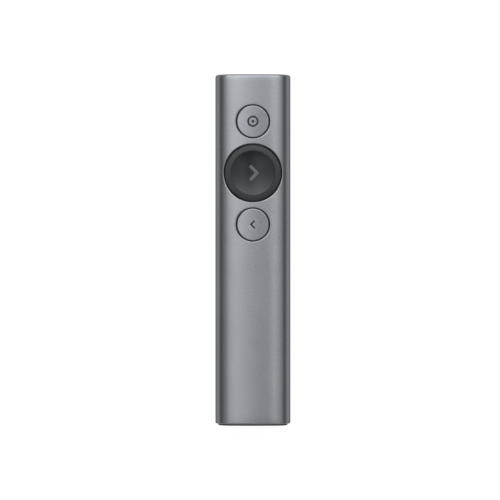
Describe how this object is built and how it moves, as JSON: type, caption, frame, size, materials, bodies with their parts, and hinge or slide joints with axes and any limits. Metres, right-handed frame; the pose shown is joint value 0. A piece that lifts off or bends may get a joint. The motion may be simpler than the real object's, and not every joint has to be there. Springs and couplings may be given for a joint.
{
  "type": "wireless presentation clicker",
  "caption": "Slim aluminium-tube presentation clicker with round push buttons on its front, a charging port and a docked plug-in radio receiver in its bottom end.",
  "frame": {"origin": "middle of the footprint on the flat back, with the clicker lying on it, buttons up", "axes": "+Y along the tube towards the end that points at the screen, +Z out of the button side, +X to the right seen from the front"},
  "size_m": [0.0282, 0.131, 0.0121],
  "materials": {
    "anodised_aluminium": "bead-blasted, clear grey anodised",
    "dark_button": "fine-textured, dark grey",
    "dish_pad": "smooth satin, near black",
    "arrow_grey": "satin grey inlay",
    "dark_mark": "filled dark mark",
    "end_plastic": "fine spark-eroded texture, dark grey",
    "chassis_plastic": "moulded, black",
    "carrier_plastic": "moulded, dark grey",
    "circuit_board": "green solder mask",
    "chip_black": "moulded chip package",
    "ceramic": "fired ceramic with tinned ends",
    "white_nylon": "natural nylon",
    "amber_tape": "polyimide tape",
    "battery_foil": "satin laminate foil",
    "light_pipe": "clear moulded",
    "led_body": "phosphor in a white package",
    "steel": "nickel plated",
    "spring_steel": "rolled stainless strip",
    "gold_contact": "gold plated",
    "receiver_white": "white laminate",
    "rubber": "soft black",
    "foam": "adhesive foam",
    "red_wire": "stranded wire's sleeve",
    "tungsten": "sintered heavy metal"
  },
  "bodies": {
    "housing": {"housing_tube": "anodised_aluminium", "top_end_cap": "end_plastic", "bottom_collar": "end_plastic", "collar_screws": "steel", "chassis_tray": "chassis_plastic", "main_board": "circuit_board", "button_frame": "chassis_plastic", "frame_screws": "steel", "pointer_dome": "spring_steel", "pointer_switch": "chip_black", "next_dome": "spring_steel", "next_switch": "chip_black", "status_leds": "led_body", "back_dome": "spring_steel", "back_switch": "chip_black", "battery_cell": "battery_foil", "battery_guard": "amber_tape", "battery_pad": "foam", "battery_wires": "red_wire", "battery_plug": "white_nylon", "battery_header": "white_nylon", "charging_port": "steel", "charging_tongue": "chip_black", "charging_contacts": "gold_contact", "receiver_dock": "chassis_plastic", "dock_spring": "spring_steel", "motor_can": "steel", "motor_boot": "rubber", "motor_wires": "red_wire", "radio_chip": "chip_black", "clock_crystal": "steel", "motion_sensor": "chip_black", "charger_chip": "chip_black", "antenna": "ceramic", "board_passives": "ceramic"},
    "pointer": {"pointer_cap": "anodised_aluminium", "pointer_mark": "dark_mark", "pointer_carrier": "carrier_plastic", "pointer_actuator": "white_nylon"},
    "next": {"next_ring": "dark_button", "next_dish": "dish_pad", "next_arrow": "arrow_grey", "next_carrier": "carrier_plastic", "next_actuator": "white_nylon", "light_guide": "light_pipe"},
    "back": {"back_cap": "anodised_aluminium", "back_arrow": "dark_mark", "back_carrier": "carrier_plastic", "back_actuator": "white_nylon"},
    "receiver": {"receiver_case": "end_plastic", "receiver_shell": "steel", "receiver_board": "receiver_white", "receiver_contacts": "gold_contact", "receiver_chip": "chip_black"},
    "motor_rotor": {"motor_shaft": "steel", "motor_weight": "tungsten"}
  },
  "joints": [
    {"name": "pointer_press", "type": "slide", "parent": "housing", "child": "pointer", "axis": [0, 0, -1], "range_m": [0, 0.00035], "stiffness_N_per_m": 1500, "springref_m": -0.0002, "deforming": ["pointer_dome"]},
    {"name": "next_press", "type": "slide", "parent": "housing", "child": "next", "axis": [0, 0, -1], "range_m": [0, 0.00035], "stiffness_N_per_m": 1500, "springref_m": -0.0002, "deforming": ["next_dome"]},
    {"name": "back_press", "type": "slide", "parent": "housing", "child": "back", "axis": [0, 0, -1], "range_m": [0, 0.00035], "stiffness_N_per_m": 1500, "springref_m": -0.0002, "deforming": ["back_dome"]},
    {"name": "receiver_slide", "type": "slide", "parent": "housing", "child": "receiver", "axis": [0, -1, 0], "range_m": [0, 0.03]},
    {"name": "motor_spin", "type": "hinge", "parent": "housing", "child": "motor_rotor", "pos_m": [0, -0.04, 0.0066], "axis": [1, 0, 0], "continuous": true}
  ]
}
